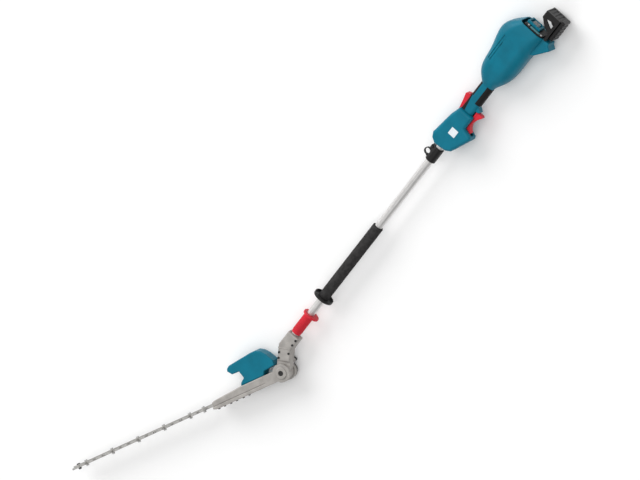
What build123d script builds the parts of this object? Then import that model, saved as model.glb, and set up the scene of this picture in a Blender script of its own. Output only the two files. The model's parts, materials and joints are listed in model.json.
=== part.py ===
from build123d import *
import math
import os

# Cordless pole hedge trimmer, lying on its right side.
# While it is drawn, the pole's axis is the X axis: +X runs to the battery end, +Y is the tool's
# top and +Z its left side. Every piece is then moved so that the strap eye is the origin.
# All lengths are millimetres and all angles degrees.

# Clearances
FIT = 0.03
RUN = 0.06
GAP = 0.4

# Pole and drive line
POLE_R = 12.0
POLE_WALL = 1.6
POLE_REAR_X = 372.0
SHAFT_R = 4.0
BEND_X = -699.0
NECK_DROP = 32.6
NECK_RUN = 85.7
FLEX_LEAD = 15.0
FLEX_R = 3.4
BUSH_LENGTH = 14.0
BUSH_PLACES = (330.0, 100.0, -150.0, -380.0, -600.0, -668.0)

# Strap hanger
EYE_X = 79.0
EYE_Y = 23.0
EYE_R = 8.5
EYE_WALL = 3.0
EYE_HALF = 5.0
HANGER_FRONT = 60.0
HANGER_LENGTH = 50.0
HANGER_WALL = 5.0

# Motor housing: where each cross-section stands, its top, its underside, half width and corner
WALL = 2.6
HOUSING_HALF = 46.0
HOUSING_FRONT = 367.0
HOUSING_REAR = 606.0
GROOVE_DEPTH = 1.4
FOOT_HALF = 26.0

# Motor
MOTOR_AXIS_FRONT = 424.0
MOTOR_LENGTH = 96.0
BULKHEAD = 6.0
CAN_R = 33.0
CAN_WALL = 2.0
ROTOR_R = 16.3
AIR_GAP = 0.7
BEARING_R = 11.0
BEARING_WIDTH = 7.0
FAN_R = 30.0
FAN_HUB_R = 9.0
FAN_WIDTH = 12.0
FAN_BLADES = 9
COUPLING_R = 9.0
COUPLING_LENGTH = 26.0

# Battery bay
PLATE_THICK = 5.0
PLATE_TOP = 16.0
PLATE_LOW = -49.0
PLATE_HALF = 38.0
PLATE_CORNER = 15.0
BLOCK_DEPTH = 9.0
BLOCK_TOP = 21.0
BLOCK_LOW = -27.0
BLOCK_HALF = 21.0
SLOT_DEPTH = 7.0
BAY_HALF = 26.0
GUARD_SIDE = 4.0
GUARD_REAR = 685.0
GUARD_TOP = -9.0
GUARD_FLOOR = -53.0
GUARD_ARM = 9.0
GUARD_WALL = 8.0
BUMPER_LOW = -77.0
BUMPER_FRONT = 617.0
BUMPER_REAR = 688.0

# Trigger handle and grip
HANDLE_HALF = 27.0
GRIP_FRONT = 236.0
GRIP_TOP = 21.5
GRIP_LOW = -22.5
GRIP_HALF = 17.5
GRIP_CORNER = 13.0
PAD_FRONT = 300.0
PAD_TOP = -6.0
PAD_THICK = 1.5
STRIP_FRONT = 316.0
STRIP_LOW = 13.5

# Trigger and lock lever
PIN_R = 2.0
SWITCH_RIB = 196.0
TRIGGER_PIVOT = (228.0, -24.0)
TRIGGER_HALF = 10.0
TRIGGER_LUG_R = 5.0
LEVER_PIVOT = (247.0, 17.0)
LEVER_HALF = 11.0
LEVER_LUG_R = 4.2

# Front grip and release sleeve
FOAM_FRONT = -505.0
FOAM_REAR = -212.0
FOAM_R = 17.5
FLANGE_R = 32.5
FLANGE_LIP = 6.0
FLANGE_WALL = 3.0
SLEEVE_FRONT = -651.0
SLEEVE_REAR = -572.0
SLEEVE_R = 15.0
SLEEVE_FLANGE_R = 26.0
SLEEVE_FLANGE = 6.0
SLEEVE_FLANGE_DROP = 4.0
SLEEVE_TRAVEL = 8.0
SLEEVE_RIBS = 24
SPRING_WIRE = 1.2
SPRING_TURNS = 7

# Neck
SOCKET_MOUTH = -655.0
SOCKET_TOP = 18.0
SOCKET_LOW = -24.0
SOCKET_DEPTH = 35.0
NECK_HALF = 19.0
NECK_WIDE = 21.0
TONGUE_R = 24.0
TONGUE_HALF = 14.5
TRUNNION_R = 13.0
TRUNNION_LENGTH = 2.9
NECK_SEAM = 10.0

# Gears
PINION_TEETH = 8
CROWN_TEETH = 18
PINION_PITCH_R = 6.5
TOOTH_HALF = 1.2
TOOTH_WIDTH = 1.3
CRANK_R = 5.0
CRANK_THROW = 4.0
ECCENTRIC_R = 7.0
ECCENTRIC_WIDTH = 4.4
NECK_BEARING_R = 8.0
CRANK_BUSH_R = 8.0
FACE_HALF = 3.2
CROWN_THICK = 4.2
MESH_GAP = 0.4

# Head lock on the neck's right side, drawn in the neck's own frame
PAWL_X = 36.0
PAWL_Y = -17.0
PAWL_REACH = 37.0
PAWL_LOW = -36.0
PAWL_TOP = -31.0
PAWL_PIN_R = 3.0
PEG_R = 1.6
PULL_R = 2.0
PULL_Z = -24.0
PULL_SLACK = 1.4

# Cutter head, drawn with s along the blade from the tilt axis and n up from it
HEAD_LIFT = 25.3
CHEEK_R = 28.0
CHEEK_WALL_IN = 2.8
CHEEK_ROOM = 6.0
CHEEK_WALL_OUT = 4.4
CASE_START = 31.0
CHEEK_END = 64.0
CASE_END = 255.0
CASE_TOP = 15.0
CASE_LOW = -19.0
CASE_SPLIT = -8.2
CASE_HALF = 26.0
CHANNEL_HALF = 23.4
CASE_BOLTS = (150.0, 196.0, 240.0)
CASE_BOLT_TOP = 5.0
INDEX_R = 26.0
INDEX_WIDTH = 12.0
INDEX_NOTCHES = 13
INDEX_STEP = 9.5
REST_NUT_R = 13.0
REST_NUT_HEIGHT = 6.4
RING_R = 18.0
RING_BORE = 8.2
RING_HEIGHT = 3.0
HEAD_GRIP_HALF = 22.0

# Blades
BLADE_TIP = 787.0
BLADE_THICK = 2.6
BLADE_GAP = 0.3
BAR_TOP = 2.4
BAR_THICK = 4.2
BAR_HALF = 10.0
BAR_START = 135.0
BLADE_SPINE = 10.5
BLADE_ROOT = 95.0
TOOTH_PITCH = 32.0
TOOTH_FIRST = 288.0
TOOTH_COUNT = 15
TOOTH_REACH = 26.0
TOOTH_BASE = 15.0
TOOTH_TIP = 9.0
BOLT_R = 3.0
BOLT_HEAD_R = 5.5
BOLT_HEAD = 4.0
BOLT_FIRST = 350.0
BOLT_PITCH = 96.0
BOLT_COUNT = 5
ROOT_BOLTS = (160.0, 236.0, 299.0)
TIP_SCREW = 762.0

# Screws
SCREW_R = 2.0
SCREW_HEAD_R = 3.6
SCREW_HEAD = 2.6
BOSS_R = 5.2

# Worked-out places
TILT = Vector(
    BEND_X - NECK_RUN * math.cos(math.radians(NECK_DROP)),
    -NECK_RUN * math.sin(math.radians(NECK_DROP)),
    0,
)
NECK_DIR = Vector(math.cos(math.radians(NECK_DROP)), math.sin(math.radians(NECK_DROP)), 0)
BLADE_DIR = Vector(-math.cos(math.radians(HEAD_LIFT)), math.sin(math.radians(HEAD_LIFT)), 0)
NECK = Plane(origin=TILT, x_dir=NECK_DIR, z_dir=(0, 0, 1))
HEAD = Plane(origin=TILT, x_dir=BLADE_DIR, z_dir=(0, 0, -1))
POLE_FRONT_X = SOCKET_MOUTH - SOCKET_DEPTH
CHEEK_IN = TONGUE_HALF + GAP
CHEEK_MID = CHEEK_IN + CHEEK_WALL_IN
CHEEK_FAR = CHEEK_MID + CHEEK_ROOM
CHEEK_OUT = CHEEK_FAR + CHEEK_WALL_OUT
UPPER_TOP = BAR_TOP - BAR_THICK - BLADE_GAP
LOWER_TOP = UPPER_TOP - BLADE_THICK - BLADE_GAP
CASE_BOLT_Z = CASE_HALF - 4.5
PINION_TIP = PINION_PITCH_R + TOOTH_HALF
PINION_ROOT = PINION_PITCH_R - TOOTH_HALF
CROWN_PITCH_R = PINION_PITCH_R * CROWN_TEETH / PINION_TEETH
CROWN_LOW = PINION_TIP + CROWN_THICK
PINION_SPAN = (CROWN_PITCH_R - FACE_HALF, CROWN_PITCH_R + FACE_HALF)
PEG_LOCAL = Vector(
    PAWL_X + PAWL_REACH * math.sin(math.radians(NECK_DROP)),
    PAWL_Y + PAWL_REACH * math.cos(math.radians(NECK_DROP)),
    0,
)
PEG = NECK.from_local_coords(PEG_LOCAL)

pieces = {}
LOW_ALIGN = (Align.CENTER, Align.CENTER, Align.MIN)


def block(x_span, y_span, z_span):
    """A straight-sided block between pairs of limits."""
    size = [high - low for low, high in (x_span, y_span, z_span)]
    middle = [(high + low) / 2 for low, high in (x_span, y_span, z_span)]
    return Pos(*middle) * Box(*size)


def rod_x(x_span, radius, y=0.0, z=0.0):
    """A round rod along X."""
    rod = Cylinder(radius, x_span[1] - x_span[0], align=LOW_ALIGN)
    return Pos(x_span[0], y, z) * Rot(0, 90, 0) * rod


def rod_y(x, y_span, z, radius):
    """A round rod along Y."""
    rod = Cylinder(radius, y_span[1] - y_span[0], align=LOW_ALIGN)
    return Pos(x, y_span[0], z) * Rot(-90, 0, 0) * rod


def rod_z(x, y, z_span, radius):
    """A round rod along Z."""
    return Pos(x, y, z_span[0]) * Cylinder(radius, z_span[1] - z_span[0], align=LOW_ALIGN)


def slab(points, z_span):
    """A closed outline in XY drawn straight between two heights."""
    face = make_face(Polyline(*points, close=True))
    return extrude(Pos(0, 0, z_span[0]) * face, z_span[1] - z_span[0], dir=(0, 0, 1))


def moulding(points, half, corner, edge, inset=0.0):
    """A moulded body of an outline, rounded at its corners and along both side faces."""
    face = fillet(make_face(Polyline(*points, close=True)).vertices(), corner)
    if inset:
        face = offset(face, -inset)
    body = extrude(face, half - inset, both=True)
    sides = body.faces().sort_by(Axis.Z)
    return fillet(sides[0].edges() + sides[-1].edges(), edge - inset)


def halves(body):
    """The left and right half of a shell that splits at its middle plane."""
    box = body.bounding_box()
    x_span = (box.min.X - 1, box.max.X + 1)
    y_span = (box.min.Y - 1, box.max.Y + 1)
    left = body & block(x_span, y_span, (0, box.max.Z + 1))
    right = body & block(x_span, y_span, (box.min.Z - 1, 0))
    return left, right


def hexagon(x, y, z_span, across):
    """A hexagonal prism along Z."""
    face = Pos(x, y, z_span[0]) * RegularPolygon(across / 2, 6, major_radius=False)
    return extrude(face, z_span[1] - z_span[0])


def add(name, *bodies):
    """Keep a piece, or a group of like pieces, under its name."""
    pieces.setdefault(name, []).extend(solid for body in bodies for solid in body.solids())


def shell_screws(places, head_z, reach):
    """Screws that enter from the right side: their bosses, their holes and the screws."""
    bosses, holes, screws = [], [], []
    for x, y in places:
        bosses.append(rod_z(x, y, (-2 * HOUSING_HALF, 2 * HOUSING_HALF), BOSS_R))
        holes.append(rod_z(x, y, (-head_z, reach + GAP), SCREW_R + FIT))
        holes.append(rod_z(x, y, (-2 * HOUSING_HALF, -head_z), SCREW_HEAD_R + FIT))
        head = rod_z(x, y, (-head_z - SCREW_HEAD, -head_z), SCREW_HEAD_R)
        drive = hexagon(x, y, (-head_z - SCREW_HEAD, -head_z - SCREW_HEAD / 2), SCREW_HEAD_R)
        screws.append(head - drive + rod_z(x, y, (-head_z, reach), SCREW_R))
    return bosses, holes, screws


# Motor housing
HOUSING_SECTIONS = (
    (HOUSING_FRONT, GRIP_TOP, GRIP_LOW, GRIP_HALF, GRIP_CORNER),
    (381.0, 34.0, -27.0, 27.0, 22.0),
    (400.0, 47.0, -37.0, 36.0, 29.0),
    (428.0, 55.5, -47.0, 43.0, 35.0),
    (470.0, 60.5, -50.5, HOUSING_HALF, 36.0),
    (562.0, 71.5, -53.5, HOUSING_HALF, 36.0),
    (582.0, 59.5, -53.5, 45.0, 30.0),
    (HOUSING_REAR, 37.0, -51.0, 42.0, 20.0),
)
FOOT_OUTLINE = [
    (536, -46), (545, -59), (562, -71), (575, -80), (589, -90), (597, -78),
    (HOUSING_REAR, -74), (HOUSING_REAR, -44),
]
HOUSING_SCREWS = ((402, 28), (402, -22), (548, 46), (548, -36))


def barrel(inset=0.0):
    """The motor housing's outer form, or one drawn inside it."""
    rings = []
    for x, top, low, half, corner in HOUSING_SECTIONS:
        plane = Plane(origin=(x, (top + low) / 2, 0), x_dir=(0, 1, 0), z_dir=(1, 0, 0))
        rings.append(plane * RectangleRounded(top - low - 2 * inset, 2 * (half - inset), corner - inset))
    return loft(rings)


def motor_housing():
    """Both halves of the teal motor housing, with its foot, grooves and screw bosses."""
    outer = barrel()
    inner = barrel(WALL)
    foot = moulding(FOOT_OUTLINE, FOOT_HALF, 2.0, 4.0)
    shell = outer + foot - inner
    bands = [block((448, 542), (y, y + 3.2), (-HOUSING_HALF, HOUSING_HALF)) for y in (34.0, 42.0)]
    grooves = (outer - barrel(GROOVE_DEPTH)) & (bands[0] + bands[1])
    shell = shell - grooves
    bosses, holes, screws = shell_screws(HOUSING_SCREWS, 22.0, 12.0)
    for boss in bosses:
        shell = shell + (boss & outer)
    for hole in holes:
        shell = shell - hole
    left, right = halves(shell)
    add("motor_housing_left", left)
    add("motor_housing_right", right)
    add("housing_screws", *screws)


def motor():
    """The brushless motor, its end plates, bearings, fan, coupling and control module."""
    front = MOTOR_AXIS_FRONT
    rear = front + MOTOR_LENGTH
    can_span = (front + BULKHEAD, rear - BULKHEAD)
    inner = barrel(WALL + FIT)
    bosses = shell_screws(HOUSING_SCREWS, 22.0, 12.0)[0]
    for start, seat in ((front, front), (rear - BULKHEAD, rear - BEARING_WIDTH)):
        plate = inner & block((start, start + BULKHEAD), (-99, 99), (-99, 99))
        plate = plate + rod_x((min(start, seat), max(start + BULKHEAD, seat + BEARING_WIDTH)), BEARING_R + 3)
        plate = plate - rod_x((start - 9, start + BULKHEAD + 9), BEARING_R + FIT)
        for boss in bosses:
            plate = plate - boss
        add("motor_end_plates", plate)
    bearings = []
    for seat in (front, rear - BEARING_WIDTH):
        span = (seat, seat + BEARING_WIDTH)
        bearings.append(rod_x(span, BEARING_R) - rod_x(span, SHAFT_R + RUN))
    add("motor_bearings", *bearings)
    can = rod_x(can_span, CAN_R) - rod_x(can_span, CAN_R - CAN_WALL)
    add("motor_can", can)
    stator_span = (can_span[0] + 9, can_span[1] - 9)
    stator = rod_x(stator_span, CAN_R - CAN_WALL - FIT) - rod_x(stator_span, ROTOR_R + AIR_GAP)
    for turn in range(6):
        slot = Pos((stator_span[0] + stator_span[1]) / 2, 0, 0) * Rot(60 * turn, 0, 0)
        slot = slot * Pos(0, 24, 0) * Box(stator_span[1] - stator_span[0] + 2, 9, 6)
        stator = stator - slot
    add("motor_stator", stator)
    rotor = rod_x((stator_span[0] - 2, stator_span[1] + 2), ROTOR_R)
    fan_front = rear + 4
    rotor = rotor + rod_x((HOUSING_FRONT + COUPLING_LENGTH / 2 + 8, fan_front + FAN_WIDTH + 2), SHAFT_R)
    add("motor_rotor", rotor)
    fan = rod_x((fan_front, fan_front + FAN_WIDTH), FAN_HUB_R)
    blade_length = FAN_R - FAN_HUB_R + 2
    for turn in range(FAN_BLADES):
        blade = Pos(fan_front + FAN_WIDTH / 2, 0, 0) * Rot(360 / FAN_BLADES * turn, 0, 0)
        blade = blade * Pos(0, FAN_HUB_R - 2 + blade_length / 2, 0) * Rot(0, 35, 0)
        fan = fan + blade * Box(FAN_WIDTH - 2, blade_length, 1.6)
    fan = fan & rod_x((fan_front, fan_front + FAN_WIDTH), FAN_R)
    fan = fan - rod_x((fan_front - 1, fan_front + FAN_WIDTH + 1), SHAFT_R + FIT)
    add("cooling_fan", fan)
    coupling_span = (POLE_REAR_X + 2, POLE_REAR_X + 2 + COUPLING_LENGTH)
    coupling = rod_x(coupling_span, COUPLING_R) - rod_x(coupling_span, SHAFT_R + FIT)
    for turn in range(8):
        flute = block((coupling_span[0] + 4, coupling_span[1] - 4), (COUPLING_R - 1, 20), (-1, 1))
        coupling = coupling - Rot(45 * turn, 0, 0) * flute
    add("shaft_coupling", coupling)
    module = moulding([(556, -36), (556, 24), (HOUSING_REAR, 24), (HOUSING_REAR, -36)], 27.0, 2.0, 3.0)
    for y in range(-30, 20, 7):
        module = module - block((550, 560), (y, y + 3), (-22, 22))
    add("control_module", module)


def battery_bay():
    """The terminal plate and block at the housing's rear and the black guard round the bay."""
    plate_rear = HOUSING_REAR + PLATE_THICK
    plane = Plane(origin=(HOUSING_REAR, (PLATE_TOP + PLATE_LOW) / 2, 0), x_dir=(0, 1, 0), z_dir=(1, 0, 0))
    face = RectangleRounded(PLATE_TOP - PLATE_LOW, 2 * PLATE_HALF, PLATE_CORNER)
    plate = extrude(plane * face, PLATE_THICK)
    plate = chamfer(plate.faces().sort_by(Axis.X)[-1].edges(), 1.5)
    screw_places = [(y, z) for y in (PLATE_TOP - 8, PLATE_LOW + 8) for z in (PLATE_HALF - 7, 7 - PLATE_HALF)]
    screws = []
    for y, z in screw_places:
        plate = plate - rod_x((HOUSING_REAR - 1, plate_rear + 1), SCREW_R + FIT, y, z)
        head = rod_x((plate_rear, plate_rear + SCREW_HEAD), SCREW_HEAD_R, y, z)
        slot_span = (plate_rear + SCREW_HEAD / 2, plate_rear + SCREW_HEAD + 1)
        head = head - block(slot_span, (y - 9, y + 9), (z - 0.5, z + 0.5))
        screws.append(head + rod_x((HOUSING_REAR, plate_rear), SCREW_R, y, z))
    add("terminal_plate", plate)
    add("terminal_plate_screws", *screws)
    block_rear = plate_rear + BLOCK_DEPTH
    outline = [
        (plate_rear, BLOCK_LOW), (plate_rear, BLOCK_TOP), (block_rear, BLOCK_TOP), (block_rear, BLOCK_LOW),
    ]
    terminal = moulding(outline, BLOCK_HALF, 1.5, 2.0)
    slot_floor = block_rear - SLOT_DEPTH
    terminal = terminal - block((slot_floor, block_rear + 1), (BLOCK_LOW + 8, BLOCK_TOP - 6), (-15, 15))
    add("terminal_block", terminal)
    blades = []
    for z in (-12.0, -4.0, 4.0, 12.0):
        blade = block((slot_floor, block_rear - 1.5), (BLOCK_LOW + 14, BLOCK_TOP - 12), (z - 0.6, z + 0.6))
        blades.append(blade)
    add("battery_terminals", *blades)
    low = GUARD_FLOOR - GUARD_ARM
    outline = [
        (HOUSING_REAR, low), (GUARD_REAR, low), (GUARD_REAR, GUARD_TOP), (GUARD_REAR - 24, GUARD_TOP),
        (GUARD_REAR - 46, GUARD_TOP - 23), (GUARD_REAR - 54, GUARD_FLOOR), (HOUSING_REAR, GUARD_FLOOR),
    ]
    window = [
        (GUARD_REAR - 22, GUARD_FLOOR + 29), (GUARD_REAR - 17, GUARD_FLOOR + 1),
        (GUARD_REAR - 38, GUARD_FLOOR + 1),
    ]
    bay_out = BAY_HALF + GUARD_SIDE
    bay = block((HOUSING_REAR - 1, GUARD_REAR - GUARD_WALL), (low - 1, 99), (-BAY_HALF, BAY_HALF))
    guard = slab(outline, (-bay_out, bay_out)) - bay - slab(window, (-99, 99))
    guard = guard + block((BUMPER_FRONT, GUARD_REAR), (low, low + 4), (-bay_out, bay_out))
    guard = guard + block((HOUSING_REAR, HOUSING_REAR + 4), (low, GUARD_FLOOR), (-bay_out, bay_out))
    for y in range(4):
        rib_low = low + 8 + 12 * y
        rib_z = (-BAY_HALF + 4, BAY_HALF - 4)
        guard = guard - block((GUARD_REAR - 2, GUARD_REAR + 1), (rib_low, rib_low + 5), rib_z)
    bumper = moulding(
        [(BUMPER_FRONT, low), (BUMPER_REAR, low), (BUMPER_REAR, BUMPER_LOW), (BUMPER_FRONT, BUMPER_LOW)],
        BAY_HALF, 4.0, 5.0,
    )
    for x in range(5):
        rib = BUMPER_FRONT + 9 + 12 * x
        bumper = bumper - block((rib, rib + 4), (BUMPER_LOW - 1, BUMPER_LOW + 2), (-99, 99))
    add("battery_guard", guard + bumper)


# Trigger handle
HANDLE_OUTLINE = [
    (119, 17), (129, 34), (144, 42), (200, 35), (227, 31.5), (262, GRIP_TOP), (262, -30), (219, -30),
    (213, -52), (210, -61), (202, -65), (134, -38), (124, -23), (121, -3),
]
NOSE_OUTLINE = [(278, -15), (282, -30), (286, -35), (290, -31), (300, -15)]
HANDLE_SCREWS = ((138, 24), (138, -24), (200, -48), (212, 20))
HANDLE_FRONT = HANDLE_OUTLINE[0][0]


def grip_tube(x_span, inset=0.0):
    """The grip's rounded section along X."""
    plane = Plane(origin=(x_span[0], (GRIP_TOP + GRIP_LOW) / 2, 0), x_dir=(0, 1, 0), z_dir=(1, 0, 0))
    section = RectangleRounded(GRIP_TOP - GRIP_LOW - 2 * inset, 2 * (GRIP_HALF - inset), GRIP_CORNER - inset)
    return extrude(plane * section, x_span[1] - x_span[0])


def handle():
    """Both halves of the trigger handle, its rubber pad and its screws."""
    nose = slab(NOSE_OUTLINE, (-12, 12))
    grip_span = (GRIP_FRONT, HOUSING_FRONT)
    outer = moulding(HANDLE_OUTLINE, HANDLE_HALF, 3.0, 9.0) + grip_tube(grip_span) + nose
    inner = moulding(HANDLE_OUTLINE, HANDLE_HALF, 3.0, 9.0, WALL) + grip_tube(grip_span, WALL)
    shell = outer - inner
    bosses, holes, screws = shell_screws(HANDLE_SCREWS, 15.0, 10.0)
    for boss in bosses:
        shell = shell + (boss & outer)
    for x in (126.0, SWITCH_RIB, 340.0):
        shell = shell + (inner & block((x, x + 4), (-99, 99), (-99, 99)))
    shell = shell - block((SWITCH_RIB - 1, SWITCH_RIB + 5), (-32 - GAP, -26 + GAP), (-4 - GAP, 4 + GAP))
    for pivot, radius, near in (
        (TRIGGER_PIVOT, TRIGGER_LUG_R, TRIGGER_HALF - 4 + GAP),
        (LEVER_PIVOT, LEVER_LUG_R, LEVER_HALF - 2 + GAP),
    ):
        for z_span in ((near, HANDLE_HALF), (-HANDLE_HALF, -near)):
            shell = shell + (rod_z(*pivot, z_span, radius) & outer)
    for hole in holes:
        shell = shell - hole
    shell = shell - rod_x((HANDLE_FRONT - 9, HOUSING_FRONT + 1), POLE_R + FIT)
    room = TRIGGER_HALF + GAP
    shell = shell - block((218, 285), (-32, -18), (-room, room))
    shell = shell - block((206, 222), (-57, -22), (-room, room))
    shell = shell - block((236, STRIP_FRONT - 2), (12.5, 40), (-LEVER_HALF - GAP, LEVER_HALF + GAP))
    for pivot in (TRIGGER_PIVOT, LEVER_PIVOT):
        shell = shell - rod_z(*pivot, (-14, 14), PIN_R + FIT)
    under = block((PAD_FRONT, HOUSING_FRONT), (-99, PAD_TOP), (-99, 99))
    over = block((STRIP_FRONT, HOUSING_FRONT), (STRIP_LOW, 99), (-99, 99))
    skin = grip_tube(grip_span) - grip_tube(grip_span, PAD_THICK)
    pad = (skin & under) - slab(NOSE_OUTLINE, (-99, 99))
    strip = skin & over
    shell = shell - pad - strip
    left, right = halves(shell)
    add("handle_left", left)
    add("handle_right", right)
    add("housing_screws", *screws)
    add("grip_overmould", pad, strip)


def controls():
    """The trigger, the lock lever, their pins and the switch."""
    hook = [
        (281, -31), (281, -46), (277, -51), (270, -46), (261, -41), (250, -36.5), (239, -35), (229, -39),
        (221, -45), (216.5, -51), (214, -48), (219.5, -31),
    ]
    trigger = slab(hook, (-TRIGGER_HALF, TRIGGER_HALF))
    trigger = fillet(trigger.edges().filter_by(Axis.Z).group_by(Axis.Y)[0], 1.5)
    lug_half = TRIGGER_HALF - 4
    web = [(224, -31.5), (224, -24), (232, -24), (262, -27), (262, -31.5)]
    trigger = trigger + slab(web, (-lug_half, lug_half))
    trigger = trigger + rod_z(*TRIGGER_PIVOT, (-lug_half, lug_half), TRIGGER_LUG_R - 0.6)
    trigger = trigger - rod_z(*TRIGGER_PIVOT, (-99, 99), PIN_R + RUN)
    add("trigger", trigger)
    lug_half = LEVER_HALF - 2
    paddle = [
        (240, 23.5), (262, 27), (284, 32), (303, 37), (307, 36), (311, 25), (309, 21), (300, 20),
        (262, 19.5), (243, 19),
    ]
    lever = slab(paddle, (-LEVER_HALF, LEVER_HALF))
    lever = lever + slab([(243, 17), (251, 17), (258, 23), (242, 22)], (-lug_half, lug_half))
    lever = lever + rod_z(*LEVER_PIVOT, (-lug_half, lug_half), LEVER_LUG_R - 0.4)
    lever = lever - rod_z(*LEVER_PIVOT, (-99, 99), PIN_R + RUN)
    add("lock_lever", lever)
    for pivot in (TRIGGER_PIVOT, LEVER_PIVOT):
        add("control_pins", rod_z(*pivot, (-13.5, 13.5), PIN_R))
    switch_rear = SWITCH_RIB - 36
    outline = [(switch_rear, -37), (switch_rear, -16), (SWITCH_RIB, -16), (SWITCH_RIB, -37)]
    switch = moulding(outline, 11.0, 1.5, 1.0)
    add("trigger_switch", switch + block((SWITCH_RIB, SWITCH_RIB + 7), (-32, -26), (-4, 4)))


def pole():
    """The aluminium pole with the drive shaft and its bushes inside."""
    span = (POLE_FRONT_X, POLE_REAR_X)
    bore = POLE_R - POLE_WALL
    add("pole", rod_x(span, POLE_R) - rod_x(span, bore))
    add("drive_shaft", rod_x((BEND_X + FLEX_LEAD, HOUSING_FRONT + COUPLING_LENGTH / 2 + 7), SHAFT_R))
    bushes = []
    for x in BUSH_PLACES:
        bush_span = (x - BUSH_LENGTH / 2, x + BUSH_LENGTH / 2)
        bushes.append(rod_x(bush_span, bore - FIT) - rod_x(bush_span, SHAFT_R + RUN))
    add("shaft_bushes", *bushes)


def strap_hanger():
    """The black clamp with the eye for the shoulder strap, and its screw."""
    span = (HANGER_FRONT, HANGER_FRONT + HANGER_LENGTH)
    clamp = chamfer(rod_x(span, POLE_R + HANGER_WALL).edges(), 1.5)
    eye_out = EYE_R + EYE_WALL
    for z_span in ((EYE_HALF, 99), (-99, -EYE_HALF)):
        clamp = clamp - block((EYE_X - eye_out, EYE_X + eye_out), (EYE_Y - EYE_R - 1, 99), z_span)
    eye = rod_z(EYE_X, EYE_Y, (-EYE_HALF, EYE_HALF), eye_out)
    foot = [
        (EYE_X - eye_out - 5, POLE_R), (EYE_X - eye_out, EYE_Y), (EYE_X + eye_out, EYE_Y),
        (EYE_X + eye_out + 5, POLE_R),
    ]
    ear_x = span[1] - 9
    ear = block((ear_x - 6, ear_x + 6), (POLE_R, POLE_R + 11), (-9, 9))
    clamp = clamp + eye + slab(foot, (-EYE_HALF, EYE_HALF)) + ear
    clamp = clamp - rod_z(EYE_X, EYE_Y, (-99, 99), EYE_R)
    clamp = clamp - rod_x((span[0] - 1, span[1] + 1), POLE_R + FIT)
    screw_y = POLE_R + HANGER_WALL + 2
    clamp = clamp - rod_z(ear_x, screw_y, (-99, 99), SCREW_R + FIT)
    clamp = clamp - block((ear_x - 9, span[1] + 1), (POLE_R - 1, POLE_R + 99), (-0.8, 0.8))
    add("strap_hanger", clamp)
    head = rod_z(ear_x, screw_y, (9, 9 + SCREW_HEAD), SCREW_HEAD_R)
    head = head - hexagon(ear_x, screw_y, (10, 99), SCREW_HEAD_R)
    add("housing_screws", head + rod_z(ear_x, screw_y, (-9, 9), SCREW_R))


def front_grip():
    """The foam grip and the hand stop at its lower end."""
    span = (FOAM_FRONT, FOAM_REAR)
    foam = rod_x(span, FOAM_R)
    foam = fillet(foam.edges().sort_by(Axis.X)[-1], 4.0)
    add("foam_grip", foam - rod_x(span, POLE_R + FIT))
    stop_span = (FOAM_FRONT - FLANGE_WALL, FOAM_FRONT)
    stop = rod_x(stop_span, FLANGE_R) + rod_x((FOAM_FRONT, FOAM_FRONT + FLANGE_LIP), FLANGE_R)
    stop = stop - rod_x((FOAM_FRONT, FOAM_FRONT + 99), FLANGE_R - FLANGE_WALL)
    stop = fillet(stop.edges().sort_by(Axis.X)[0], 1.4)
    add("hand_stop", stop - rod_x((FOAM_FRONT - 99, FOAM_FRONT + 99), POLE_R + FIT))


def release_sleeve():
    """The red sleeve that frees the head, with its spring, stop ring and pull rod."""
    bore = POLE_R + GAP
    room_front = SLEEVE_FRONT + 12
    room_rear = SLEEVE_REAR - 18
    room_r = SLEEVE_R - 1.1
    sleeve = rod_x((SLEEVE_FRONT, SLEEVE_REAR), SLEEVE_R)
    flange_span = (SLEEVE_REAR - SLEEVE_FLANGE, SLEEVE_REAR)
    sleeve = sleeve + rod_x(flange_span, SLEEVE_FLANGE_R, -SLEEVE_FLANGE_DROP)
    sleeve = fillet(sleeve.edges().group_by(Axis.X)[-1], 2.0)
    rib_span = (SLEEVE_FRONT + 6, SLEEVE_REAR - SLEEVE_FLANGE - 4)
    rib = block(rib_span, (SLEEVE_R - 0.5, SLEEVE_R + 0.7), (-0.7, 0.7))
    for turn in range(SLEEVE_RIBS):
        sleeve = sleeve + Rot(360 / SLEEVE_RIBS * turn, 0, 0) * rib
    rod_low = PULL_Z - PULL_R - 2
    lug = block((SLEEVE_FRONT, SLEEVE_FRONT + 9), (PEG.Y - 5, PEG.Y + 5), (rod_low, -SLEEVE_R + 4))
    sleeve = sleeve + lug
    sleeve = sleeve - rod_x((SLEEVE_FRONT - 1, SLEEVE_REAR + 1), bore)
    sleeve = sleeve - rod_x((room_front, room_rear), room_r)
    sleeve = sleeve - rod_x((SLEEVE_FRONT - 1, SLEEVE_FRONT + 99), PULL_R + FIT, PEG.Y, PULL_Z)
    add("release_sleeve", sleeve)
    ring_front = room_rear - 12
    ring_span = (ring_front, ring_front + 3)
    add("spring_stop_ring", rod_x(ring_span, room_r - GAP) - rod_x(ring_span, POLE_R + FIT))
    spring_r = (POLE_R + room_r) / 2
    spring_front = room_front + SLEEVE_TRAVEL + SPRING_WIRE
    coils = []
    pitch = (ring_front - spring_front - SPRING_WIRE) / (SPRING_TURNS - 0.5)
    for turn in range(SPRING_TURNS):
        coil = Rot(0, 90, 0) * Torus(spring_r, SPRING_WIRE / 2)
        coils.append(Pos(spring_front + pitch * turn, 0, 0) * coil)
    add("sleeve_spring", *coils)
    eye_r = PEG_R + PULL_SLACK
    pull = rod_x((PEG.X, SLEEVE_FRONT + 9), PULL_R, PEG.Y, PULL_Z)
    pull = pull + rod_z(PEG.X, PEG.Y, (PULL_Z - PULL_R, PULL_Z + PULL_R), eye_r + 2.2)
    pull = pull - rod_z(PEG.X, PEG.Y, (-99, 0), eye_r)
    add("pull_rod", pull)


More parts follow.
